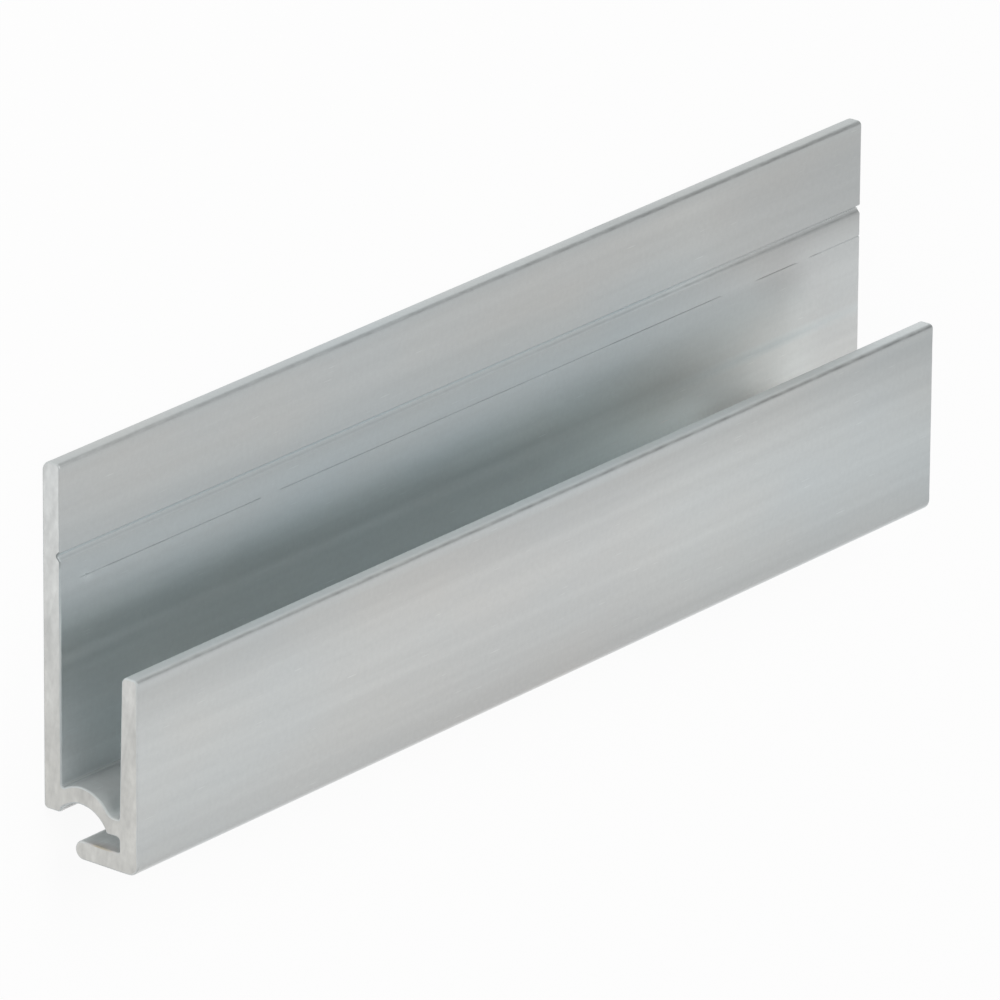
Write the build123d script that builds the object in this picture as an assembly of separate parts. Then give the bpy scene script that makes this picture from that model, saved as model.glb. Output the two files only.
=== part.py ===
from build123d import *
import os

# A short cut length of aluminium channel extrusion with a tall wall, a short wall and a hooked foot.
# The section is drawn as its sawn end shows it, standing on the foot: across runs from the short wall's
# outer face to the tall wall's outer face, and up runs from the foot to the tall wall's rim.
# The bar lies on the tall wall's outer face, with its length along X and the slot open towards -Y.

# Whole bar
bar_length = 100.0
section_depth = 9.6
section_height = 32.4

# Tall wall, which ends above the foot, a little below the groove's edge
tall_wall = 1.8
tall_wall_overhang = 0.43
tall_wall_lower_radius = 0.4
tall_wall_rim_outer_radius = 0.85
tall_wall_rim_slot_radius = 0.4

# Short wall, which thins from the slot floor to its rim and runs down into the foot
short_wall_height = 16.5
short_wall_root = 1.9
short_wall_rim = 1.6
short_wall_rim_outer_radius = 0.4
short_wall_rim_slot_radius = 0.6

# Foot, a lip turned back under the slot with a full round tip
foot_reach = 6.4
foot_thickness = 1.6
foot_heel_radius = 1.0

# Hook recess between the foot and the web, with the flat ledge over it
recess_height = 1.3
recess_ledge = 1.3
recess_upper_radius = 0.3

# Round groove under the web, from the ledge to the tall wall
groove_rise = 1.7
groove_end_rise = 0.88
groove_edge_radius = 0.2

# Web, which closes the slot with a flat gutter and an arch over the groove
web_thickness = 1.5
web_thickness_at_tall_wall = 1.6
gutter_width = 1.0
gutter_radius = 0.9

# Small radius that the die leaves in the inner corners
inner_corner_radius = 0.2

# Drill line, a V groove with a rounded root along the tall wall's slot face, and the fine scored line below it
drill_line_drop = 7.67
drill_line_width = 0.75
drill_line_depth = 0.33
drill_line_root_radius = 0.14
score_drop = 2.38
score_width = 0.16
score_depth = 0.08

# The part of a wall that the radius at each side of its rim may take
rim_radius_share = 0.48

# How far the groove's crown lies along the way from the ledge to the tall wall
groove_crown_share = 0.565

# Places on the section that follow from the sizes above
slot_face = section_depth - tall_wall
web_underside = foot_thickness + recess_height
gutter_floor = web_underside + web_thickness
gutter_edge = short_wall_root + gutter_width
groove_edge = short_wall_root + recess_ledge
groove_crown = groove_edge + groove_crown_share * (slot_face - groove_edge)
groove_crown_height = web_underside + groove_rise
groove_end = web_underside + groove_end_rise
arch_crown_height = groove_crown_height + web_thickness
arch_end = groove_end + web_thickness_at_tall_wall
tall_wall_lower_edge = groove_end - tall_wall_overhang
drill_line_height = section_height - drill_line_drop
score_height = drill_line_height - score_drop
corner_at_start = (Align.MIN, Align.MIN)


def round_corner(face, across, up, radius):
    """Round the corner of a flat face that lies nearest to a place on the section."""
    corner = face.vertices().sort_by_distance((across, up))[0]
    return fillet(corner, radius)


def rim_radius(radius, wall):
    """Keep a rim's radius within its share of the wall that carries it."""
    return min(radius, rim_radius_share * wall)


def tall_wall_face():
    """The tall wall with its two rim radii and its rounded lower edge."""
    face = Pos(slot_face, tall_wall_lower_edge) * Rectangle(
        tall_wall, section_height - tall_wall_lower_edge, align=corner_at_start
    )
    lower_radius = rim_radius(tall_wall_lower_radius, tall_wall)
    face = round_corner(face, section_depth, tall_wall_lower_edge, lower_radius)
    face = round_corner(face, slot_face, tall_wall_lower_edge, min(lower_radius, tall_wall_overhang))
    outer_radius = rim_radius(tall_wall_rim_outer_radius, tall_wall)
    face = round_corner(face, section_depth, section_height, outer_radius)
    slot_radius = rim_radius(tall_wall_rim_slot_radius, tall_wall)
    return round_corner(face, slot_face, section_height, slot_radius)


def short_wall_face():
    """The short wall, tapered on its slot side, with its two rim radii."""
    outline = Polyline(
        (0, 0),
        (0, short_wall_height),
        (short_wall_rim, short_wall_height),
        (short_wall_root, gutter_floor),
        (short_wall_root, 0),
        close=True,
    )
    face = Sketch() + make_face(outline)
    outer_radius = rim_radius(short_wall_rim_outer_radius, short_wall_rim)
    face = round_corner(face, 0, short_wall_height, outer_radius)
    slot_radius = rim_radius(short_wall_rim_slot_radius, short_wall_rim)
    return round_corner(face, short_wall_rim, short_wall_height, slot_radius)


def foot_face():
    """The lip of the foot with its full round tip."""
    tip_radius = foot_thickness / 2
    lip = Rectangle(foot_reach - tip_radius, foot_thickness, align=corner_at_start)
    tip = Pos(foot_reach - tip_radius, tip_radius) * Circle(tip_radius)
    return lip + tip


def web_face():
    """The web between the walls: a flat gutter beside the short wall and an arch over the groove."""
    ledge = Polyline(
        (gutter_edge, gutter_floor),
        (short_wall_root, gutter_floor),
        (short_wall_root, web_underside),
        (groove_edge, web_underside),
    )
    groove = ThreePointArc(
        (groove_edge, web_underside), (groove_crown, groove_crown_height), (slot_face, groove_end)
    )
    seat = Line((slot_face, groove_end), (slot_face, arch_end))
    arch = ThreePointArc(
        (slot_face, arch_end), (groove_crown, arch_crown_height), (gutter_edge, gutter_floor)
    )
    return make_face(Curve() + [ledge, groove, seat, arch])


def line_face(height, width, depth):
    """The V outline of a line cut into the tall wall's slot face."""
    outline = Polyline(
        (slot_face, height - width / 2),
        (slot_face, height + width / 2),
        (slot_face + depth, height),
        close=True,
    )
    return make_face(outline)


def section_face():
    """The whole section as one face."""
    face = tall_wall_face() + short_wall_face() + foot_face() + web_face()

    # Heel of the foot and the corners of the hook recess
    face = round_corner(face, 0, 0, foot_heel_radius)
    face = round_corner(face, short_wall_root, web_underside, recess_upper_radius)
    face = round_corner(face, short_wall_root, foot_thickness, inner_corner_radius)

    # Lower edge of the web, where the groove breaks into the recess
    face = round_corner(face, groove_edge, web_underside, groove_edge_radius)

    # Slot floor: the gutter's two corners and the arch's corner at the tall wall
    face = round_corner(face, gutter_edge, gutter_floor, gutter_radius)
    face = round_corner(face, short_wall_root, gutter_floor, inner_corner_radius)
    face = round_corner(face, slot_face, arch_end, inner_corner_radius)

    # Lines on the tall wall
    face -= line_face(drill_line_height, drill_line_width, drill_line_depth)
    face = round_corner(face, slot_face + drill_line_depth, drill_line_height, drill_line_root_radius)
    face -= line_face(score_height, score_width, score_depth)
    return face


# The section is laid on the tall wall, with the bar's length and height centred on the origin
lying = Plane(origin=(0, section_height / 2, section_depth), x_dir=(0, 0, -1), z_dir=(-1, 0, 0))
channel_bar = extrude(lying * section_face(), amount=bar_length / 2, both=True)

os.makedirs("parts", exist_ok=True)
export_step(channel_bar, "parts/channel_bar.step")
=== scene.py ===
"""A cut length of mill-finish aluminium channel, dressed for its studio picture.

The bar lies on its tall wall. Its length runs along X, its slot opens towards -Y and its
short wall is on top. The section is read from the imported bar, and the bar is drawn again
from it with broken saw edges, an interrupted scored line, one finish for the drawn faces
and one for the sawn ends.
"""

import logging
import math
from dataclasses import dataclass, field
from enum import Enum, IntEnum
from typing import Any

import bmesh
import bpy
from bpy.types import ID, Material, Mesh, Node, NodeTree, Object, World
from bpy.types import NodeSocket as Socket
from mathutils import Matrix, Vector, noise

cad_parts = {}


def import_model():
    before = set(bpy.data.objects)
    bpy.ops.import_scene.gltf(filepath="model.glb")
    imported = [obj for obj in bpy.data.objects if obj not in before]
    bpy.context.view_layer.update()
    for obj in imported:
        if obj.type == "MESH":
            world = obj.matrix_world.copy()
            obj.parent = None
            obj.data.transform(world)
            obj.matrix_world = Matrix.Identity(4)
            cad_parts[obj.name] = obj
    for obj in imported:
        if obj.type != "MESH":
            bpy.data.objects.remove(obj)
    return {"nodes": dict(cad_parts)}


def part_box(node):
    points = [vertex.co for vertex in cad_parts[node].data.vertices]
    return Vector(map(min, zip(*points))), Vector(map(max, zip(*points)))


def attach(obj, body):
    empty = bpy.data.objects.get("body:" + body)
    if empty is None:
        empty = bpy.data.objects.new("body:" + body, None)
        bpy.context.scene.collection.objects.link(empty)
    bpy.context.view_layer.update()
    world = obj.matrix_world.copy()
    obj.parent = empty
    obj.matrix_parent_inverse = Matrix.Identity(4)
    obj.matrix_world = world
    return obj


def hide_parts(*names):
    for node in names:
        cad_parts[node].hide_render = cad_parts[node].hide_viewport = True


frame: dict[str, Any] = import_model()

MM = 0.001
BODY = "root"
NODE = "channel_bar"
SURFACE_MAP = "drawn"

Colour = tuple[float, float, float]
Pattern = tuple[float, float, float]
Place = tuple[float, float, float]
Dash = tuple[float, float, float]
Range = tuple[float, float]
Track = tuple[tuple[float, float], ...]

WHITE: Colour = (1.0, 1.0, 1.0)
NOISE_MIDDLE: Range = (0.3, 0.7)
WHOLE: Range = (0.0, 1.0)
TINTS: Range = (-1.0, 1.0)
SHEET_CORNERS = ((-1, -1), (1, -1), (1, 1), (-1, 1))
log = logging.getLogger("channel_bar")


def clamped(value: float) -> float:
    """Hold a value between 0 and 1."""
    return min(1.0, max(0.0, value))


def between(one: float, other: float, share: float) -> float:
    """Go from one value towards another by a share of the way."""
    return one + (other - one) * share


def reached(part: Range, at: float) -> float:
    """Say how far a place has come through a part of the bar, from 0 to 1."""
    start, stop = part
    return clamped((at - start) / (stop - start))


def track(*stops: tuple[float, float]) -> Track:
    """Make a row of stops from places in millimetres and the value at each."""
    return tuple((place * MM, value) for place, value in stops)


def read(stops: Track, at: float) -> float:
    """Read a value from a row of stops.

    Args:
        stops: the place and the value of each stop, in order of place.
        at: the place to read.

    Returns:
        The value, with straight runs between the stops and no change beyond them.
    """
    value = stops[0][1]
    for (start, low), (stop, high) in zip(stops, stops[1:]):
        value += reached((start, stop), at) * (high - low)
    return value


def sheet(name: str, middle: Vector, across: Vector, rise: Vector) -> Mesh:
    """Make a flat sheet with four corners.

    Args:
        name: what the mesh is called.
        middle: the middle of the sheet.
        across: the way from the middle to one side.
        rise: the way from the middle to the edge beside it.

    Returns:
        The mesh.
    """
    mesh = bpy.data.meshes.new(name)
    places = [middle + across * a + rise * b for a, b in SHEET_CORNERS]
    mesh.from_pydata(places, [], [range(len(places))])
    return mesh


def set_in_scene(data: ID) -> Object:
    """Make an object from a mesh, lamp or camera and add it to the scene.

    Args:
        data: what the object shows. The object takes its name.

    Returns:
        The object.
    """
    thing = bpy.data.objects.new(data.name, data)
    bpy.context.scene.collection.objects.link(thing)
    return thing


class Face(IntEnum):
    """The finish that a face of the bar has, by its material slot."""

    DRAWN = 0
    SAWN = 1


class BarEnd(Enum):
    """The two sawn ends, by the way along X that each one looks."""

    NEAR = 1
    FAR = -1


class Mark(Enum):
    """What the mesh says about each place on the bar, for the finishes to read."""

    # Wear on rounded edges, with a painted highlight on the rims, the drill line's upper flank and the
    # upward saw breaks
    WEAR_AND_HIGHLIGHT = "wear_and_painted_highlight"
    # Painted light in the slot, on the drill line's upper flank, on the outer face and on the tall
    # wall's lower edge
    PAINTED_LIGHT = "painted_light_mark"
    # Painted shade in the drill line, the recess and along the rims, a darker scored line, and the
    # foot's real stain
    PAINTED_SHADE_AND_STAIN = "painted_shade_and_stain_mark"
    # Painted shade on the rims' tops, the slot floor, the saw breaks and the outer face
    PAINTED_SHADE = "painted_shade_mark"
    # A tint: bluish stands in for the colour of the slot's shade, beige is a warm tone and brown the
    # foot's stain
    SHADE_TINT_AND_STAIN = "shade_tint_and_stain_mark"
    ROUGHENED = "roughened_face"


class NodeBoard:
    """A node tree with short calls for the nodes that the finishes share."""

    def __init__(self, tree: NodeTree) -> None:
        """Empty the tree and keep it."""
        self.tree = tree
        tree.nodes.clear()

    def join(self, source: Socket, target: Socket) -> None:
        """Link one socket to another."""
        self.tree.links.new(source, target)

    def add(self, kind: str, *terms: Socket | float | tuple, **settings: Any) -> Node:
        """Add a node.

        Args:
            kind: Blender's name of the node type.
            terms: a socket or a constant for each of the first inputs, in order.
            settings: properties of the node, set by name.

        Returns:
            The new node.
        """
        node = self.tree.nodes.new(kind)
        for name, value in settings.items():
            setattr(node, name, value)
        for term, socket in zip(terms, node.inputs):
            if isinstance(term, Socket):
                self.join(term, socket)
            else:
                socket.default_value = term
        return node

    def combined(self, operation: str, *terms: Socket | float) -> Socket:
        """Join numbers by one arithmetic operation."""
        return self.add("ShaderNodeMath", *terms, operation=operation).outputs["Value"]

    def product(self, one: Socket, other: Socket | Pattern) -> Socket:
        """Multiply two colours, or a place by a pattern."""
        node = self.add("ShaderNodeVectorMath", one, other, operation="MULTIPLY")
        return node.outputs["Vector"]

    def mixed(self, share: Socket, one: Socket, other: Socket) -> Socket:
        """Mix two shaders, by the share that the other one has."""
        return self.add("ShaderNodeMixShader", share, one, other).outputs["Shader"]

    def scaled(self, colour: Socket, factor: Socket) -> Socket:
        """Brighten or darken a colour.

        Args:
            colour: the colour.
            factor: the number that it is multiplied by.

        Returns:
            The new colour.
        """
        node = self.add("ShaderNodeVectorMath", colour, operation="SCALE")
        self.join(factor, node.inputs["Scale"])
        return node.outputs["Vector"]

    def clouds(self, place: Socket, pattern: Pattern | float, detail: float = 2.0) -> Socket:
        """Give soft noise at a place.

        Args:
            place: the place as a point or as one number, in millimetres.
            pattern: how many times the noise repeats in each millimetre, by axis for a point.
            detail: how many finer layers it has.

        Returns:
            The noise, from 0 to 1.
        """
        if isinstance(pattern, float):
            dimensions, socket, spread = "1D", "W", self.combined("MULTIPLY", place, pattern)
        else:
            dimensions, socket, spread = "3D", "Vector", self.product(place, pattern)
        node = self.add("ShaderNodeTexNoise", noise_dimensions=dimensions)
        node.inputs["Scale"].default_value = 1.0
        node.inputs["Detail"].default_value = detail
        self.join(spread, node.inputs[socket])
        return node.outputs["Fac"]

    def ranged(self, value: Socket, source: Range, target: Range) -> Socket:
        """Map one range of a value to another and hold it there.

        Args:
            value: the value.
            source: the range that is read.
            target: the range that comes out.

        Returns:
            The mapped value.
        """
        node = self.add("ShaderNodeMapRange", clamp=True)
        node.inputs["From Min"].default_value, node.inputs["From Max"].default_value = source
        node.inputs["To Min"].default_value, node.inputs["To Max"].default_value = target
        self.join(value, node.inputs["Value"])
        return node.outputs["Result"]

    def shade(self, *rows: tuple[Socket, Range, Range]) -> Socket:
        """Multiply the shades that follow from a row of values.

        Args:
            rows: each value, the range of it that is read and the range of shades that comes out.

        Returns:
            The shade.
        """
        shades = [self.ranged(*row) for row in rows]
        shade = shades[0]
        for other in shades[1:]:
            shade = self.combined("MULTIPLY", shade, other)
        return shade

    def ramp(self, share: Socket, *stops: tuple[float, Colour]) -> Socket:
        """Run through a row of colours.

        Args:
            share: where on the row to read.
            stops: the place of each colour on the row and the colour.

        Returns:
            The colour.
        """
        node = self.add("ShaderNodeValToRGB")
        row = node.color_ramp.elements
        row.remove(row[1])
        for i, (place, colour) in enumerate(stops):
            element = row.new(place) if i else row[0]
            element.position = place
            element.color = (*colour, 1.0)
        self.join(share, node.inputs["Fac"])
        return node.outputs["Color"]

    def mark(self, mark: Mark) -> Socket:
        """Read one of the bar's own marks from its mesh."""
        return self.add("ShaderNodeAttribute", attribute_name=mark.value).outputs["Fac"]

    def relief(self, height: Socket, depth: float) -> Socket:
        """Turn a height into fine relief.

        Args:
            height: the height, from 0 to 1.
            depth: how deep the relief is, in metres.

        Returns:
            The way that the surface looks.
        """
        node = self.add("ShaderNodeBump")
        node.inputs["Distance"].default_value = depth
        self.join(height, node.inputs["Height"])
        return node.outputs["Normal"]

    def show(self, shader: Socket, kind: str = "ShaderNodeOutputMaterial") -> None:
        """Make a shader the one that the tree shows."""
        self.add(kind, shader)


def blank_material(name: str) -> tuple[Material, NodeBoard]:
    """Make a material with no nodes yet.

    Args:
        name: what the material is called.

    Returns:
        The material and the board of its nodes.
    """
    material = bpy.data.materials.new(name)
    material.use_nodes = True
    return material, NodeBoard(material.node_tree)


@dataclass(frozen=True)
class MillFinish:
    """Bare aluminium as it leaves the die: satin, with fine lines and soft bands along the length, and
    with painted light and painted shade from the mesh's marks.

    Pattern values are repeats in each millimetre, along the bar and round its section.
    """

    name: str = "drawn_mill_aluminium"
    cool: Colour = (0.722, 0.757, 0.762)
    warm: Colour = (0.746, 0.760, 0.748)
    tone_pattern: Pattern = (0.045, 0.09, 0.0)
    metal: float = 1.0
    stretch: float = 0.35
    gloss: Range = (0.29, 0.33)
    rubbed_gloss: float = -0.04
    shade_and_stain_gloss: float = 0.25
    roughened_gloss: float = 0.5
    line_pattern: Pattern = (0.004, 5.0, 0.0)
    line_detail: float = 3.0
    line_depth: float = 0.0000008
    line_shade: Range = (0.993, 1.006)
    band_pattern: Pattern = (0.012, 0.42, 0.0)
    band_shade: Range = (0.975, 1.02)
    streak_pattern: Pattern = (0.03, 0.9, 0.0)
    streak_shade: Range = (0.978, 1.02)
    grain_pattern: Pattern = (2.4, 2.0, 0.0)
    grain_shade: Range = (0.982, 1.018)
    scratch_pattern: Pattern = (0.45, 8.0, 0.0)
    scratch_detail: float = 0.0
    scratch_share: Range = (0.80, 0.86)
    scratch_shade: Range = (1.0, 1.12)
    # Painted light, wear with a painted highlight, painted shade with the foot's stain and its noise,
    # and painted shade
    painted_light_range: Range = (1.0, 1.29)
    wear_and_highlight_range: Range = (1.0, 1.08)
    shade_and_stain_range: Range = (1.0, 0.45)
    shade_and_stain_pattern: Pattern = (0.6, 3.0, 0.0)
    shade_and_stain_detail: float = 4.0
    shade_and_stain_spread: Range = (0.7, 1.12)
    painted_shade_range: Range = (1.0, 0.72)
    # Tints: bluish stands in for the colour of the slot's shade, beige is a warm tone and brown the
    # foot's stain
    bluish: Colour = (0.875, 0.925, 0.955)
    clear_at: float = 0.5
    beige: Colour = (0.985, 0.945, 0.93)
    beige_at: float = 0.75
    brown: Colour = (0.80, 0.71, 0.55)

    def material(self) -> Material:
        """Make the finish.

        Returns:
            The material.
        """
        material, board = blank_material(self.name)
        place = board.add("ShaderNodeUVMap", uv_map=SURFACE_MAP).outputs["UV"]
        tones = board.clouds(place, self.tone_pattern)
        lines = board.clouds(place, self.line_pattern, self.line_detail)
        bands = board.clouds(place, self.band_pattern)
        streaks = board.clouds(place, self.streak_pattern)
        grain = board.clouds(place, self.grain_pattern)
        scratches = board.clouds(place, self.scratch_pattern, self.scratch_detail)
        # Noise in the painted shade and the foot's stain
        shade_and_stain_noise = board.clouds(place, self.shade_and_stain_pattern, self.shade_and_stain_detail)
        shade_and_stain_noise = board.ranged(shade_and_stain_noise, NOISE_MIDDLE, self.shade_and_stain_spread)
        shade_and_stain_share = board.combined("MULTIPLY", board.mark(Mark.PAINTED_SHADE_AND_STAIN), shade_and_stain_noise)
        wear_and_highlight = board.mark(Mark.WEAR_AND_HIGHLIGHT)
        # The shade multiplies random lines, bands, streaks, grain and scratches with painted light,
        # wear with a painted highlight, painted shade with the foot's stain, and painted shade
        shade = board.shade(
            (lines, NOISE_MIDDLE, self.line_shade),
            (bands, NOISE_MIDDLE, self.band_shade),
            (streaks, NOISE_MIDDLE, self.streak_shade),
            (grain, NOISE_MIDDLE, self.grain_shade),
            (scratches, self.scratch_share, self.scratch_shade),
            (board.mark(Mark.PAINTED_LIGHT), WHOLE, self.painted_light_range),
            (wear_and_highlight, WHOLE, self.wear_and_highlight_range),
            (shade_and_stain_share, WHOLE, self.shade_and_stain_range),
            (board.mark(Mark.PAINTED_SHADE), WHOLE, self.painted_shade_range),
        )
        metal = board.ramp(tones, (NOISE_MIDDLE[0], self.cool), (NOISE_MIDDLE[1], self.warm))
        # The tint's bluish end stands in for the colour of the slot's shade
        tinting = board.ramp(
            board.ranged(board.mark(Mark.SHADE_TINT_AND_STAIN), TINTS, WHOLE),
            (0.0, self.bluish),
            (self.clear_at, WHITE),
            (self.beige_at, self.beige),
            (1.0, self.brown),
        )
        gloss = board.ranged(bands, NOISE_MIDDLE, self.gloss)
        for mark, change in (
            (wear_and_highlight, self.rubbed_gloss),
            (shade_and_stain_share, self.shade_and_stain_gloss),
            (board.mark(Mark.ROUGHENED), self.roughened_gloss),
        ):
            gloss = board.combined("MULTIPLY_ADD", mark, change, gloss)
        tangent = board.add("ShaderNodeTangent", direction_type="UV_MAP", uv_map=SURFACE_MAP)

        shader = board.add("ShaderNodeBsdfPrincipled")
        shader.inputs["Metallic"].default_value = self.metal
        shader.inputs["Anisotropic"].default_value = self.stretch
        board.join(board.scaled(board.product(metal, tinting), shade), shader.inputs["Base Color"])
        board.join(gloss, shader.inputs["Roughness"])
        board.join(tangent.outputs["Tangent"], shader.inputs["Tangent"])
        board.join(board.relief(lines, self.line_depth), shader.inputs["Normal"])
        board.show(shader.outputs["BSDF"])
        return material


@dataclass(frozen=True)
class SawnFinish:
    """Aluminium as the saw leaves it: rougher, with curved blade marks and smeared patches, and
    painted shade that makes it greyer towards the foot.

    The blade's centre is given in the bar's own frame, in millimetres, and patterns in
    repeats a millimetre.
    """

    name: str = "sawn_mill_aluminium"
    pale: Colour = (0.715, 0.732, 0.728)
    grey: Colour = (0.624, 0.624, 0.602)
    painted_shade_span: Range = (-14.0, 9.0)
    metal: float = 1.0
    gloss: Range = (0.42, 0.60)
    blade_centre: Place = (0.0, 35.0, 130.0)
    mark_pattern: float = 2.6
    mark_detail: float = 3.0
    mark_depth: float = 0.000004
    mark_shade: Range = (0.97, 1.025)
    patch_pattern: Pattern = (1.0, 0.25, 0.7)
    patch_detail: float = 3.0
    patch_shade: Range = (0.84, 1.14)
    speck_pattern: Pattern = (3.0, 1.3, 2.2)
    speck_shade: Range = (0.95, 1.05)

    def material(self) -> Material:
        """Make the finish.

        Returns:
            The material.
        """
        material, board = blank_material(self.name)
        metres = board.add("ShaderNodeTexCoord").outputs["Object"]
        place = board.product(metres, (1 / MM, 1 / MM, 1 / MM))
        patches = board.clouds(place, self.patch_pattern, self.patch_detail)
        specks = board.clouds(place, self.speck_pattern)
        split = board.add("ShaderNodeSeparateXYZ", place)
        reach = board.add("ShaderNodeVectorMath", place, self.blade_centre, operation="DISTANCE")
        marks = board.clouds(reach.outputs["Value"], self.mark_pattern, self.mark_detail)
        shade = board.shade(
            (marks, NOISE_MIDDLE, self.mark_shade),
            (patches, NOISE_MIDDLE, self.patch_shade),
            (specks, NOISE_MIDDLE, self.speck_shade),
        )
        # Painted shade: paler towards the wall tops and greyer towards the foot
        down = board.ranged(split.outputs["Y"], self.painted_shade_span, WHOLE)
        metal = board.ramp(down, (0.0, self.pale), (1.0, self.grey))

        shader = board.add("ShaderNodeBsdfPrincipled")
        shader.inputs["Metallic"].default_value = self.metal
        board.join(board.scaled(metal, shade), shader.inputs["Base Color"])
        board.join(board.ranged(patches, NOISE_MIDDLE, self.gloss), shader.inputs["Roughness"])
        board.join(board.relief(marks, self.mark_depth), shader.inputs["Normal"])
        board.show(shader.outputs["BSDF"])
        return material


@dataclass(frozen=True)
class PaperFinish:
    """White studio paper: it takes the bar's shadow and reads as white to the eye and in the metal."""

    name: str = "studio_paper"
    colour: Colour = (0.90, 0.90, 0.90)
    seen_white: float = 0.92

    def material(self) -> Material:
        """Make the finish.

        Returns:
            The material.
        """
        material, board = blank_material(self.name)
        lit = board.add("ShaderNodeBsdfDiffuse", (*self.colour, 1.0))
        white = board.add("ShaderNodeEmission")
        path = board.add("ShaderNodeLightPath").outputs
        seen = board.combined("MAXIMUM", path["Is Camera Ray"], path["Is Glossy Ray"])
        seen = board.combined("MAXIMUM", seen, path["Is Transmission Ray"])
        share = board.combined("MULTIPLY", seen, self.seen_white)
        board.show(board.mixed(share, lit.outputs["BSDF"], white.outputs["Emission"]))
        return material


@dataclass(frozen=True)
class SectionPoint:
    """One point of the section, in the plane across the bar.

    Attributes:
        place: the point's Y and Z.
        height: how high it lies when the section stands on its foot.
        across: where it lies across the drill line, or None outside it.
        along: its distance from the near end.
        girth: how far round the section it lies.
        before: the outward direction of the stretch that ends here.
        after: the outward direction of the stretch that starts here.
        marks: how much of each mark it has. The tint runs from -1, bluish, to 1, brown.
    """

    place: Vector
    height: float
    across: float | None
    along: float
    girth: float
    before: Vector
    after: Vector
    marks: dict[Mark, float] = field(default_factory=dict)

    @property
    def facing(self) -> Vector:
        """Give the outward direction at the point itself."""
        return (self.before + self.after).normalized()


@dataclass(frozen=True)
class Station:
    """A place along the bar at which its section is drawn.

    Attributes:
        along: the distance from the near end.
        turn: how far the surface has turned, from 0 at the sawn end to a quarter on the drawn faces.
        end: the end that the surface turns from.
    """

    along: float
    turn: float = math.pi / 2
    end: BarEnd = BarEnd.NEAR


@dataclass(frozen=True)
class Rim:
    """The top of one wall, with its painted shade and roughness. Heights are in metres.

    Attributes:
        low: the height at which the rim starts.
        high: the height at which it ends.
        top_painted_shade: how dark its top is painted, from 0 to 1.
        roughened: how rough its top is, from 0 to 1.
        shade_and_stain_share: how dark the painted line along its upper edge is at the near end and at
            the far end, standing in for a dark reflection.
    """

    low: float
    high: float
    top_painted_shade: float
    roughened: float
    shade_and_stain_share: Range


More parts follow.
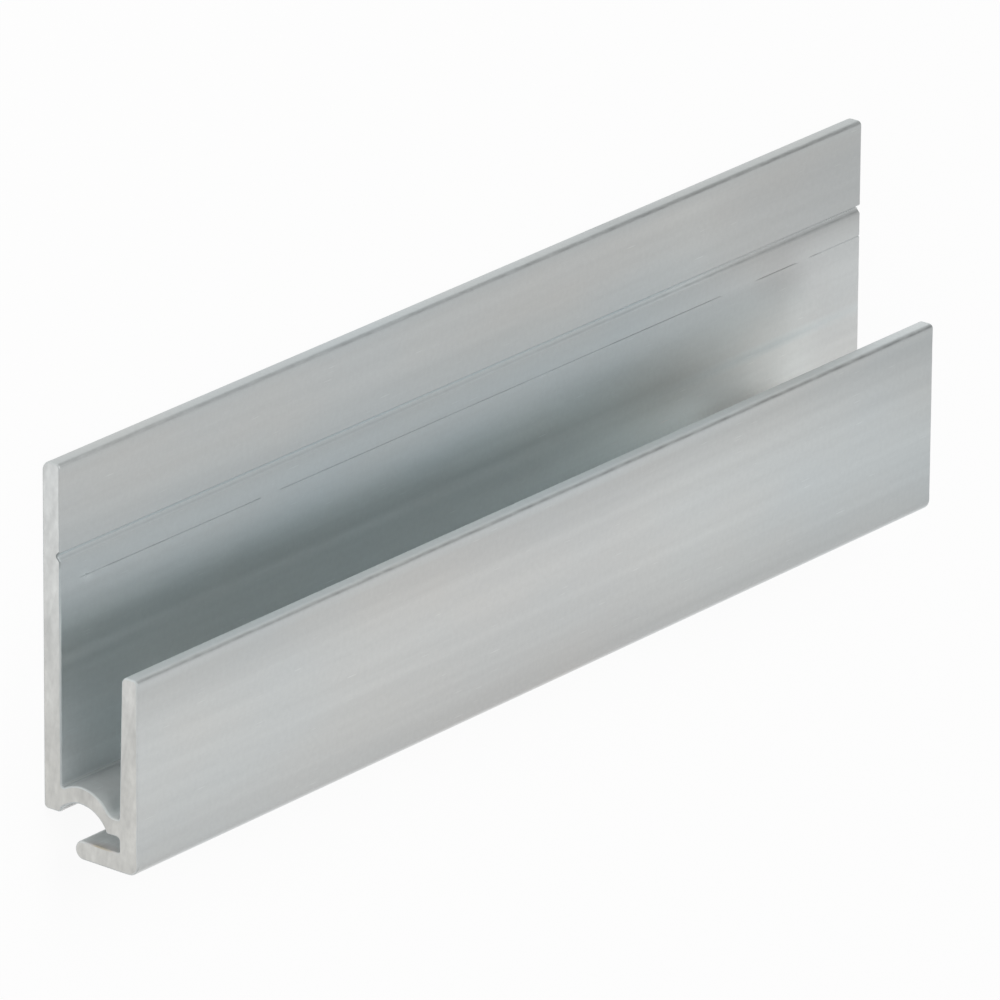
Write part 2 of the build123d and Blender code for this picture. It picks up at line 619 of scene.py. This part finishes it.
@dataclass
class ChannelBar:
    """The bar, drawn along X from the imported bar's own section. Lengths are in metres.

    Heights are taken as the section stands on its foot, from the foot up to the tall wall's rim.
    """

    drawn: MillFinish = field(default_factory=MillFinish)
    sawn: SawnFinish = field(default_factory=SawnFinish)
    piece_name: str = "drawn_channel"

    # How finely the section is read and the bar is drawn
    weld_reach: float = 0.001 * MM
    end_reach: float = 0.01 * MM
    longest_run: float = 0.7 * MM
    station_pitch: float = 1.0 * MM
    sharp_turn: float = math.radians(20.0)
    rubbed_radius: float = 0.4 * MM

    # The slot faces' places on Z, and the heights and parts of the length that divide the surface
    tall_face: Range = (1.4 * MM, 1.81 * MM)
    short_face: Range = (7.6 * MM, 8.05 * MM)
    foot_height: float = 2.0 * MM
    web_height: float = 4.0 * MM
    slot_floor_height: float = 4.42 * MM
    gutter_height: float = 6.2 * MM
    far_part: Range = (55.0 * MM, 86.0 * MM)
    far_tint_part: Range = (68.0 * MM, 90.0 * MM)
    far_end_part: Range = (89.5 * MM, 93.5 * MM)

    # Painted light, by height, and its gain deep in the slot along the bar
    tall_face_painted_light: Track = track(
        (9.0, 1.0), (11.5, 0.6), (15.4, 0.42), (16.5, 0.3), (17.9, 0.8),
        (18.8, 0.95), (20.5, 0.5), (21.5, 0.2), (23.5, 0.0), (26.0, 0.06),
    )
    tall_face_far_painted_light: Track = track(
        (13.0, 1.0), (14.5, 0.6), (16.0, 0.38), (17.5, 0.2), (18.8, 0.05),
        (20.0, 0.0), (22.0, 0.27), (23.5, 0.2), (24.4, 0.0), (26.0, 0.1),
    )
    tall_face_end_painted_light: Track = track((20.0, 1.0), (22.0, 0.85), (23.5, 0.5), (24.4, 0.1))
    short_face_far_painted_light: Track = track((11.5, 1.0), (13.5, 0.4))
    outer_face_painted_light: Track = track(
        (3.0, 0.0), (6.3, 0.0), (6.9, 0.1), (8.5, 0.08), (11.0, 0.18), (11.6, 0.04),
        (12.0, 0.1), (12.9, 0.17), (13.4, 0.02), (15.0, 0.0),
    )
    lower_edge_painted_light: float = 1.0
    deep_heights: Track = track((13.0, 1.0), (17.5, 0.0))
    deep_gain: Track = track(
        (0.0, 0.0), (3.0, 0.2), (6.0, 0.4), (11.0, 1.0), (30.0, 1.0), (50.0, 1.4),
        (60.0, 1.7), (68.0, 2.2), (80.0, 2.2), (88.0, 1.0),
    )

    # Painted shade, by height
    outer_face_painted_shade: Track = track((4.5, 0.12), (7.5, 0.0))
    outer_rim_painted_shade: Track = track((13.5, 0.0), (14.2, 0.06), (15.3, 0.16))
    slot_floor_painted_shade: Track = track((4.6, 0.3), (5.2, 0.55), (6.0, 0.95))

    # Roughness, by height, and its change in the slot along the bar
    tall_face_roughness: Track = track(
        (8.0, 0.65), (13.0, 0.35), (16.5, 0.05), (22.5, 0.0), (25.0, 0.24)
    )
    short_face_roughness: Track = track((8.0, 0.65), (13.0, 0.4), (16.0, 0.24))
    far_roughness: Track = track(
        (65.0, 1.0), (73.0, 1.6), (78.0, 2.1), (82.0, 1.2), (86.0, 0.5), (91.0, 0.25), (97.0, 0.0)
    )
    open_roughness: float = 0.24
    recess_roughness: float = 0.7
    lower_edge_roughness: float = 1.0
    gutter_roughness: float = 1.0

    # Tint, by height, with bluish standing in for the colour of the slot's shade, and for the outer
    # face and the warm part along the bar
    tall_face_shade_tint: Track = track((17.0, -0.25), (20.5, -1.0), (23.0, -1.0), (28.5, 0.0))
    tall_face_far_tint: Track = track((17.0, 0.5), (24.0, 0.3), (25.5, -0.1))
    tall_face_warm_part: Track = track((70.0, 0.0), (87.0, 0.8), (92.0, 0.5), (97.0, 0.1))
    outer_face_tint: Track = track((10.0, 0.0), (42.0, 0.2), (58.0, 0.2), (78.0, -0.2), (100.0, -0.4))
    short_face_shade_tint: float = -0.25
    rim_tint: float = -0.25

    # Painted shade in the recess and the brown stain on the foot, by place across the foot
    recess_painted_shade: float = 0.2
    foot_stain: Track = track((4.2, 0.0), (5.2, 1.0), (6.6, 0.8), (7.6, 0.2))
    foot_stain_soil: float = 0.5
    foot_stain_reach: float = 0.6 * MM

    # Broken edges at the saw cuts, with a painted highlight where they look up and painted shade
    # elsewhere
    saw_break: float = 0.14 * MM
    saw_break_steps: int = 2
    saw_break_swing: float = 0.04 * MM
    saw_break_pattern: float = 1.4 / MM
    saw_break_painted_shade: float = 0.5
    saw_break_outer_painted_shade: float = 0.1
    saw_break_highlight: float = 0.3
    saw_break_line_painted_shade: float = 0.7
    saw_break_roughness: float = 0.78

    # Drill line, with painted shade on its lower flank and painted light with a painted highlight on
    # its upper flank
    drill_line: Range = (24.355 * MM, 25.105 * MM)
    drill_line_run: float = 0.08 * MM
    drill_line_painted_shade: float = 0.35
    drill_line_far_painted_shade: float = 0.45
    drill_line_low_share: float = -0.57
    drill_line_low_reach: float = 0.46
    drill_line_highlight: float = 0.6

    # Rims of the short wall and of the tall wall, with painted shade on their tops and a painted dark
    # line along their upper edges
    rims: tuple[Rim, ...] = (
        Rim(15.85 * MM, 16.6 * MM, 0.05, 0.5, (0.85, 1.0)),
        Rim(31.5 * MM, 32.5 * MM, 0.5, 0.78, (0.6, 1.0)),
    )
    rim_lean: Range = (0.55, 0.85)
    rim_line_turn: float = math.radians(33.0)
    rim_line_spread: Range = (math.radians(13.0), math.radians(32.0))
    rim_wear_and_highlight: float = 0.3

    # Scored line, with the start and stop of each dash in millimetres and its strength
    score_height: float = 22.35 * MM
    score_reach: float = 0.1 * MM
    score_steepness: float = 8.0
    score_darkening: float = 0.75
    score_fade: float = 0.8 * MM
    score_swing: float = 0.25
    score_pattern: float = 0.9 / MM
    score_dashes: tuple[Dash, ...] = (
        (3.2, 5.2, 0.12), (5.6, 7.2, 0.85), (7.2, 10.2, 0.27), (10.4, 12.8, 0.75),
        (12.8, 23.6, 0.33), (26.6, 31.2, 0.17), (31.4, 47.0, 0.38), (47.0, 49.6, 0.2),
        (49.8, 57.0, 0.5), (57.0, 59.4, 0.12), (59.5, 67.4, 0.38), (67.6, 81.0, 0.85),
        (86.6, 91.6, 0.95), (93.4, 94.6, 1.0), (94.6, 97.6, 0.17), (97.8, 100.0, 0.35),
    )

    def __post_init__(self) -> None:
        """Take the bar's length, level and section from the frame."""
        self.low, self.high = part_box(NODE)
        self.length = self.high.x - self.low.x
        self.outline = self.read_outline(frame["nodes"][NODE])
        self.score_tip = self.find_score()

    def read_outline(self, node: Object) -> list[Vector]:
        """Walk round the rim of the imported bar's near end.

        Args:
            node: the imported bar.

        Returns:
            The section's points, as Y and Z, with the metal on the left.
        """
        mesh = bmesh.new()
        mesh.from_mesh(node.data)
        bmesh.ops.remove_doubles(mesh, verts=mesh.verts, dist=self.weld_reach)
        level = self.high.x - self.end_reach
        cap = {f for f in mesh.faces if all(v.co.x > level for v in f.verts)}
        rim = [e for e in mesh.edges if sum(f in cap for f in e.link_faces) == 1]
        follows = {}
        for edge in rim:
            face = next(f for f in edge.link_faces if f in cap)
            loop = next(c for c in face.loops if c.edge == edge)
            follows[loop.vert] = loop.link_loop_next.vert
        first = here = rim[0].verts[0]
        outline = []
        while not outline or here != first:
            outline.append(Vector((here.co.y, here.co.z)))
            here = follows[here]
        mesh.free()
        return self.divided(outline)

    def divided(self, outline: list[Vector]) -> list[Vector]:
        """Add points on the long straight runs of an outline.

        Args:
            outline: the outline's points in order.

        Returns:
            The same outline with no run longer than the longest one allowed.
        """
        points = []
        for start, stop in zip(outline, outline[1:] + outline[:1]):
            in_line = self.drill_line_share((start + stop) / 2) is not None
            longest = self.drill_line_run if in_line else self.longest_run
            steps = math.ceil((stop - start).length / longest)
            points += [start.lerp(stop, i / steps) for i in range(steps)]
        return points

    def on_face(self, point: SectionPoint, face: Range) -> bool:
        """Say whether a point lies in the slot, on the face of one of the walls."""
        return point.height > self.slot_floor_height and face[0] < point.place.y < face[1]

    def on_outer_face(self, point: SectionPoint) -> bool:
        """Say whether a point lies on the outer side of the short wall."""
        return point.place.y > self.short_face[1]

    def on_lower_edge(self, point: SectionPoint) -> bool:
        """Say whether a point lies on the small face at the tall wall's lower edge."""
        low = point.height < self.slot_floor_height
        return low and self.tall_face[0] < point.place.y < self.tall_face[1]

    def between_walls(self, point: SectionPoint) -> bool:
        """Say whether a point lies between the walls, on the web, in the recess or on the foot."""
        low = point.height < self.gutter_height
        return low and self.tall_face[1] < point.place.y < self.short_face[1]

    def on_slot_floor(self, point: SectionPoint) -> bool:
        """Say whether a point lies on the slot's floor."""
        upward = point.facing.x < 0.0
        return upward and self.between_walls(point) and point.height > self.web_height

    def drill_line_share(self, place: Vector) -> float | None:
        """Say where a point lies across the drill line.

        Args:
            place: the point.

        Returns:
            -1 at the line's lower edge, 0 at its root and 1 at its upper edge, or None outside it.
        """
        height = self.high.y - place.x
        low, high = self.drill_line
        inside = low - self.drill_line_run < height < high
        if inside and self.tall_face[0] < place.y < self.tall_face[1]:
            return (2.0 * height - low - high) / (high - low)
        return None

    def find_score(self) -> int:
        """Find the bottom of the scored line.

        Returns:
            The place in the outline of the point that lies deepest in the tall wall, near the score.
        """
        level = self.high.y - self.score_height
        near = [i for i, p in enumerate(self.outline) if abs(p.x - level) < self.score_reach]
        inner = [i for i in near if self.tall_face[0] < self.outline[i].y < self.tall_face[1]]
        return min(inner, key=lambda i: self.outline[i].y)

    def score_depth(self, along: float) -> float:
        """Say how deep the scored line is at a place on the bar.

        Args:
            along: the distance from the near end.

        Returns:
            The depth, from 0 for none to 1 for full.
        """
        depth = 0.0
        for start, stop, strength in self.score_dashes:
            # Half of each fade lies inside the dash and half outside
            inside = min(along - start * MM, stop * MM - along) / self.score_fade + 0.5
            depth = max(depth, strength * clamped(inside))
        swing = self.score_swing * noise.noise((along * self.score_pattern, 0.0, 0.0))
        return clamped(depth * (1.0 + swing))

    def section_at(self, along: float) -> list[SectionPoint]:
        """Work out the section at a place on the bar.

        Args:
            along: the distance from the near end.

        Returns:
            The section's points in order.
        """
        places = [p.copy() for p in self.outline]
        tip = self.score_tip
        score = self.score_depth(along)
        face = (places[tip - 1] + places[tip + 1]) / 2
        places[tip] = face.lerp(places[tip], clamped(score * self.score_steepness))
        count = len(places)
        runs = [places[(i + 1) % count] - places[i] for i in range(count)]
        points = []
        girth = 0.0
        for i, place in enumerate(places):
            point = self.section_point(place, runs[i - 1], runs[i], girth, along)
            if i == tip:
                # The scored line's tip is drawn darker by its depth
                point.marks[Mark.PAINTED_SHADE_AND_STAIN] = score * self.score_darkening
            points.append(point)
            girth += runs[i].length
        return points

    def shade_and_stain_at(self, point: SectionPoint) -> float:
        """Say how dark a point of the section is made: painted shade in the drill line and the recess,
        and the foot's real stain.

        Args:
            point: the point.

        Returns:
            The share of the drill line, the recess or the foot, and 0 elsewhere.
        """
        # Painted shade on the drill line's lower flank, growing towards the far end
        if point.across is not None:
            off = abs(point.across - self.drill_line_low_share) / self.drill_line_low_reach
            far = reached(self.far_part, point.along)
            return clamped(1.0 - off) * (self.drill_line_painted_shade + far * self.drill_line_far_painted_shade)
        if self.on_slot_floor(point) or not self.between_walls(point):
            return 0.0
        # Painted shade in the recess, with the foot's real stain
        stain = self.stain(point) if point.height < self.foot_height else 0.0
        return self.recess_painted_shade + stain * self.foot_stain_soil

    def stain(self, point: SectionPoint) -> float:
        """Say how brown the foot's inner face is at a point, at the near end."""
        nearness = clamped(1.0 - point.along / self.foot_stain_reach)
        return read(self.foot_stain, point.place.y) * nearness

    def roughness(self, point: SectionPoint) -> float:
        """Say how rough a point of the section is.

        Args:
            point: the point.

        Returns:
            The roughness, from 0 for the slot's smoothest face to 1 for its floor.
        """
        if self.between_walls(point):
            return self.gutter_roughness if self.on_slot_floor(point) else self.recess_roughness
        change = read(self.far_roughness, point.along)
        if self.on_face(point, self.tall_face):
            return read(self.tall_face_roughness, point.height) * change
        if self.on_face(point, self.short_face):
            return read(self.short_face_roughness, point.height) * change
        return self.lower_edge_roughness if self.on_lower_edge(point) else self.open_roughness

    def painted_light_share(self, point: SectionPoint) -> float:
        """Say how much painted light brightens a point of the section.

        Args:
            point: the point.

        Returns:
            1 on the short wall's slot side and 1 or more deep on the tall wall's, falling towards
            the tall rim. The outer face and the lower edge have their own, the rest has 0.
        """
        height = point.height
        far = reached(self.far_part, point.along)
        if point.across is not None:
            # Painted light on the drill line's upper flank
            return max(0.0, math.sin(point.across * math.pi))
        if self.on_face(point, self.short_face):
            return between(1.0, read(self.short_face_far_painted_light, height), far)
        if self.on_face(point, self.tall_face):
            inner = read(self.tall_face_painted_light, height)
            inner = between(inner, read(self.tall_face_far_painted_light, height), far)
            at_end = reached(self.far_end_part, point.along)
            inner = between(inner, read(self.tall_face_end_painted_light, height), at_end)
            gain = read(self.deep_gain, point.along)
            return inner * between(1.0, gain, read(self.deep_heights, height))
        if self.on_outer_face(point):
            return read(self.outer_face_painted_light, height)
        return self.lower_edge_painted_light if self.on_lower_edge(point) else 0.0

    def painted_shade_share(self, point: SectionPoint) -> float:
        """Say how much painted shade darkens a point of the section.

        Args:
            point: the point.

        Returns:
            The painted shade of the slot floor or of the outer face's foot and rim, and 0 elsewhere.
        """
        if self.on_outer_face(point):
            low = read(self.outer_face_painted_shade, point.height) * point.along / self.length
            return low + read(self.outer_rim_painted_shade, point.height)
        return read(self.slot_floor_painted_shade, point.height) if self.on_slot_floor(point) else 0.0

    def tinting(self, point: SectionPoint) -> float:
        """Say how a point of the section is tinted.

        Args:
            point: the point.

        Returns:
            A tint from -1 for bluish, which stands in for the colour of the slot's shade, through 0
            for none to 1 for brown stain.
        """
        height, along = point.height, point.along
        if self.on_outer_face(point):
            return read(self.outer_face_tint, along)
        if height < self.foot_height and point.facing.x < 0.0:
            return self.stain(point)
        if height > self.slot_floor_height and point.place.y > self.tall_face[0]:
            on_tall_wall = point.place.y < self.tall_face[1]
            near = read(self.tall_face_shade_tint, height) if on_tall_wall else self.short_face_shade_tint
            far = read(self.tall_face_far_tint, height) * read(self.tall_face_warm_part, along)
            return between(near, far, reached(self.far_tint_part, along))
        return 0.0

    def rim_marks(self, point: SectionPoint) -> dict[Mark, float]:
        """Say how the top of a wall is marked at a point: wear with a painted highlight, painted shade
        on the top and a painted dark line where the top turns into the face.

        Args:
            point: the point.

        Returns:
            The marks of the rim, and none away from both rims.
        """
        upward = -point.facing.x
        for rim in self.rims:
            if rim.low < point.height < rim.high:
                top = reached(self.rim_lean, upward)
                past = math.asin(max(-1.0, min(1.0, upward))) - self.rim_line_turn
                line = math.exp(-((past / self.rim_line_spread[past > 0.0]) ** 2))
                near, far = rim.shade_and_stain_share
                shade_and_stain_share = near + (far - near) * point.along / self.length
                # Wear with a painted highlight, painted shade on the top and a painted dark line
                # standing in for a dark reflection
                return {
                    Mark.WEAR_AND_HIGHLIGHT: self.rim_wear_and_highlight,
                    Mark.PAINTED_SHADE: rim.top_painted_shade * top,
                    Mark.ROUGHENED: between(self.open_roughness, rim.roughened, top),
                    Mark.PAINTED_SHADE_AND_STAIN: shade_and_stain_share * line if point.facing.y > 0.0 else 0.0,
                    Mark.SHADE_TINT_AND_STAIN: self.rim_tint,
                }
        return {}

    def section_point(
        self, place: Vector, run_in: Vector, run_out: Vector, girth: float, along: float
    ) -> SectionPoint:
        """Work out the directions and marks at one point of the section.

        Args:
            place: the point.
            run_in: the stretch that ends there.
            run_out: the stretch that starts there.
            girth: how far round the section the point lies.
            along: the distance from the near end.

        Returns:
            The finished point.
        """
        before = Vector((run_in.y, -run_in.x)).normalized()
        after = Vector((run_out.y, -run_out.x)).normalized()
        turn = math.atan2(run_in.x * run_out.y - run_in.y * run_out.x, run_in.dot(run_out))
        wear_and_highlight = 0.0
        if abs(turn) < self.sharp_turn:
            shared = before * run_in.length + after * run_out.length
            before = after = shared.normalized()
            bend = turn / min(run_in.length, run_out.length)
            wear_and_highlight = clamped(bend * self.rubbed_radius)
        across = self.drill_line_share(place)
        # The drill line's upper flank gets a painted highlight, stronger towards the far end
        if across is not None and across > 0.0:
            wear_and_highlight = max(self.drill_line_highlight, reached(self.far_part, along))
        point = SectionPoint(place, self.high.y - place.x, across, along, girth, before, after)
        point.marks.update({
            Mark.WEAR_AND_HIGHLIGHT: wear_and_highlight,
            Mark.PAINTED_LIGHT: self.painted_light_share(point),
            Mark.PAINTED_SHADE_AND_STAIN: self.shade_and_stain_at(point),
            Mark.PAINTED_SHADE: self.painted_shade_share(point),
            Mark.SHADE_TINT_AND_STAIN: self.tinting(point),
            Mark.ROUGHENED: self.roughness(point),
            **self.rim_marks(point),
        })
        return point

    def stations(self) -> list[Station]:
        """Give the places along the bar at which its section is drawn.

        Returns:
            The near end's saw break, even steps along the bar and the far end's saw break.
        """
        turns = [math.pi / 2 * i / self.saw_break_steps for i in range(self.saw_break_steps + 1)]
        near = [Station(self.saw_break * (1.0 - math.cos(t)), t, BarEnd.NEAR) for t in turns]
        far = [Station(self.length - s.along, s.turn, BarEnd.FAR) for s in reversed(near)]
        steps = round(self.length / self.station_pitch)
        return [*near, *(Station(self.length * i / steps) for i in range(1, steps)), *far]

    def placed(self, point: SectionPoint, station: Station) -> Vector:
        """Set a point of the section at a station.

        Args:
            point: the point.
            station: the place along the bar.

        Returns:
            The place of the vertex, drawn in where the saw's edge is broken.
        """
        spot = Vector((station.end.value, *(point.place * self.saw_break_pattern)))
        inset = self.saw_break + self.saw_break_swing * noise.noise(spot)
        flat = point.place - point.facing * inset * (1.0 - math.sin(station.turn))
        return Vector((self.high.x - station.along, flat.x, flat.y))

    def mark_saw_break(self, point: SectionPoint, share: float) -> None:
        """Turn a point's marks towards those of the saw's broken edge, with a painted highlight where
        it looks up and painted shade elsewhere.

        Args:
            point: the point.
            share: how far the point belongs to the broken edge, from 0 to 1.
        """
        in_line = point.across is not None
        upward = 0.0 if in_line else clamped(-point.facing.x)
        outer = self.on_outer_face(point)
        painted_shade_share = self.saw_break_outer_painted_shade if outer else self.saw_break_painted_shade
        # Painted highlight where the broken edge looks up, painted shade elsewhere and in the drill
        # line
        edge = {
            Mark.WEAR_AND_HIGHLIGHT: upward * self.saw_break_highlight,
            Mark.PAINTED_LIGHT: 0.0,
            Mark.PAINTED_SHADE_AND_STAIN: self.saw_break_line_painted_shade if in_line else 0.0,
            Mark.PAINTED_SHADE: painted_shade_share * (1.0 - upward),
            Mark.ROUGHENED: self.saw_break_roughness,
        }
        for mark, value in edge.items():
            point.marks[mark] = between(point.marks[mark], value, share)

    def build_mesh(self) -> Mesh:
        """Draw the bar as rings of the section, closed by the two sawn ends.

        Returns:
            The mesh, with its own shading directions, surface places and marks.
        """
        stations = self.stations()
        rings = [self.section_at(station.along) for station in stations]
        count = len(self.outline)
        last = len(stations) - 1
        faces = []
        normals = []
        spots = []
        for s in range(last):
            for i in range(count):
                j = (i + 1) % count
                quad = ((s + 1, i), (s + 1, j), (s, j), (s, i))
                faces.append([r * count + k for r, k in quad])
                for r, k in quad:
                    station, start, stop = stations[r], rings[r][i], rings[r][j]
                    flat = stop.before if k == j else start.after
                    endward = station.end.value * math.cos(station.turn)
                    normals.append(Vector((endward, *(flat * math.sin(station.turn)))))
                    run = (stop.place - start.place).length if k == j else 0.0
                    spots.append((station.along / MM, (start.girth + run) / MM))
        for s, order in ((0, range(count)), (last, reversed(range(count)))):
            cap = [(s * count + i, rings[s][i].place) for i in order]
            faces.append([vertex for vertex, place in cap])
            normals += [Vector((stations[s].end.value, 0.0, 0.0))] * count
            spots += [place / MM for vertex, place in cap]

        mesh = bpy.data.meshes.new(self.piece_name)
        mesh.from_pydata([self.placed(p, s) for s, r in zip(stations, rings) for p in r], [], faces)
        layer = mesh.uv_layers.new(name=SURFACE_MAP)
        for loop, spot in zip(layer.data, spots):
            loop.uv = spot
        for station, ring in zip(stations, rings):
            for point in ring:
                self.mark_saw_break(point, math.cos(station.turn))
        for mark in Mark:
            values = [p.marks[mark] for r in rings for p in r]
            mesh.attributes.new(mark.value, "FLOAT", "POINT").data.foreach_set("value", values)
        for polygon in mesh.polygons:
            polygon.use_smooth = True
        for polygon in mesh.polygons[-len(BarEnd):]:
            polygon.material_index = Face.SAWN
        mesh.normals_split_custom_set(normals)
        return mesh

    def build(self) -> Object:
        """Make the piece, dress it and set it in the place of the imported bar.

        Returns:
            The piece.
        """
        mesh = self.build_mesh()
        mesh.materials.append(self.drawn.material())
        mesh.materials.append(self.sawn.material())
        piece = set_in_scene(mesh)
        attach(piece, BODY)
        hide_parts(NODE)
        return piece


@dataclass(frozen=True)
class Card:
    """A flat studio card that only the metal shows. Lengths are in metres.

    Attributes:
        name: what the card is for.
        place: the card's middle.
        facing: the way that its lit side looks.
        width: its size across.
        height: its size along upward.
        shade: how bright it is, where 1 is white.
        upward: the way that its height runs.
    """

    name: str
    place: Place
    facing: Place
    width: float
    height: float
    shade: float
    upward: Place = (0.0, 0.0, 1.0)

    def build(self) -> Object:
        """Stand the card in its place.

        Returns:
            The card.
        """
        front = Vector(self.facing).normalized()
        across = Vector(self.upward).cross(front).normalized() * self.width / 2
        rise = front.cross(across).normalized() * self.height / 2
        mesh = sheet(self.name, Vector(self.place), across, rise)
        material, board = blank_material(self.name)
        glow = board.add("ShaderNodeEmission", (self.shade, self.shade, self.shade, 1.0))
        board.show(glow.outputs["Emission"])
        mesh.materials.append(material)
        card = set_in_scene(mesh)
        card.visible_camera = False
        card.visible_diffuse = False
        card.visible_shadow = False
        return card


@dataclass
class Studio:
    """The white floor, even light, a soft lamp and the cards. Lengths are in metres."""

    paper: PaperFinish = field(default_factory=PaperFinish)
    floor_reach: float = 30.0
    air: Colour = (0.607, 0.60, 0.597)
    lamp_place: Place = (0.25, -0.75, 1.0)
    lamp_width: float = 0.9
    lamp_power: float = 6.0
    cards: tuple[Card, ...] = (
        Card(
            "foot_card", place=(16 * MM, 18 * MM, 27.5 * MM), facing=(0.0, -1.0, 0.0),
            width=178 * MM, height=21 * MM, shade=0.78,
        ),
        Card(
            "room_card", place=(-0.504, -0.266, 0.392), facing=(0.72, 0.38, -0.56),
            width=1300 * MM, height=420 * MM, shade=0.45,
        ),
    )

    def build_floor(self) -> Object:
        """Lay the floor that the bar rests on.

        Returns:
            The floor.
        """
        reach = self.floor_reach
        mesh = sheet("paper_floor", Vector(), Vector((reach, 0, 0)), Vector((0, reach, 0)))
        mesh.materials.append(self.paper.material())
        floor = set_in_scene(mesh)
        return floor

    def build_air(self) -> World:
        """Fill the studio with even light and a white backdrop that only the eye sees.

        Returns:
            The world.
        """
        world = bpy.data.worlds.new("studio_air")
        world.use_nodes = True
        board = NodeBoard(world.node_tree)
        light = board.add("ShaderNodeBackground", (*self.air, 1.0)).outputs["Background"]
        white = board.add("ShaderNodeBackground", (*WHITE, 1.0)).outputs["Background"]
        seen = board.add("ShaderNodeLightPath").outputs["Is Camera Ray"]
        board.show(board.mixed(seen, light, white), "ShaderNodeOutputWorld")
        bpy.context.scene.world = world
        return world

    def build_lamp(self) -> Object:
        """Hang one broad soft lamp over the slot's side.

        Returns:
            The lamp.
        """
        light = bpy.data.lights.new("soft_lamp", "AREA")
        light.shape = "DISK"
        light.size = self.lamp_width
        light.energy = self.lamp_power
        lamp = set_in_scene(light)
        lamp.location = self.lamp_place
        lamp.rotation_mode = "QUATERNION"
        lamp.rotation_quaternion = (-Vector(self.lamp_place)).to_track_quat("-Z", "Y")
        return lamp

    def build(self) -> list[ID]:
        """Set the studio up.

        Returns:
            Everything in it.
        """
        room = [self.build_floor(), self.build_air(), self.build_lamp()]
        return room + [card.build() for card in self.cards]


@dataclass(frozen=True)
class PictureCamera:
    """A long lens that looks down on the slot from the near end.

    Lengths are in metres, angles in degrees, and the lens and its sensor in millimetres.
    """

    azimuth: float = 62.558
    elevation: float = 35.938
    roll: float = 107.382
    aim: Place = (0.421 * MM, 1.050 * MM, 4.952 * MM)
    distance: float = 1.0757
    lens: float = 486.0
    sensor: float = 36.0

    def build(self) -> Object:
        """Set the camera up.

        Returns:
            The camera.
        """
        turn, rise = math.radians(self.azimuth), math.radians(self.elevation)
        level_reach = math.cos(rise)
        back = Vector((math.sin(turn) * level_reach, -math.cos(turn) * level_reach, math.sin(rise)))
        level = Vector((math.cos(turn), math.sin(turn), 0.0))
        right = Matrix.Rotation(math.radians(self.roll), 3, back) @ level
        above = back.cross(right)
        data = bpy.data.cameras.new("picture_camera")
        data.sensor_width = self.sensor
        data.lens = self.lens
        camera = set_in_scene(data)
        camera.matrix_world = Matrix((right, above, back)).transposed().to_4x4()
        camera.location = Vector(self.aim) + back * self.distance
        bpy.context.scene.camera = camera
        return camera


def main() -> None:
    """Build the bar, the studio and the camera."""
    logging.basicConfig(level=logging.INFO, format="%(message)s")
    bpy.context.scene.view_settings.view_transform = "Standard"
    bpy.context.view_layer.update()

    piece = ChannelBar().build()
    log.info("%s: %d faces on body %s", piece.name, len(piece.data.polygons), BODY)

    for item in Studio().build():
        log.info("studio: %s", item.name)

    camera = PictureCamera().build()
    log.info("camera: %s, %.0f mm lens", camera.name, camera.data.lens)

    bpy.context.view_layer.update()


if __name__ == "__main__":
    main()
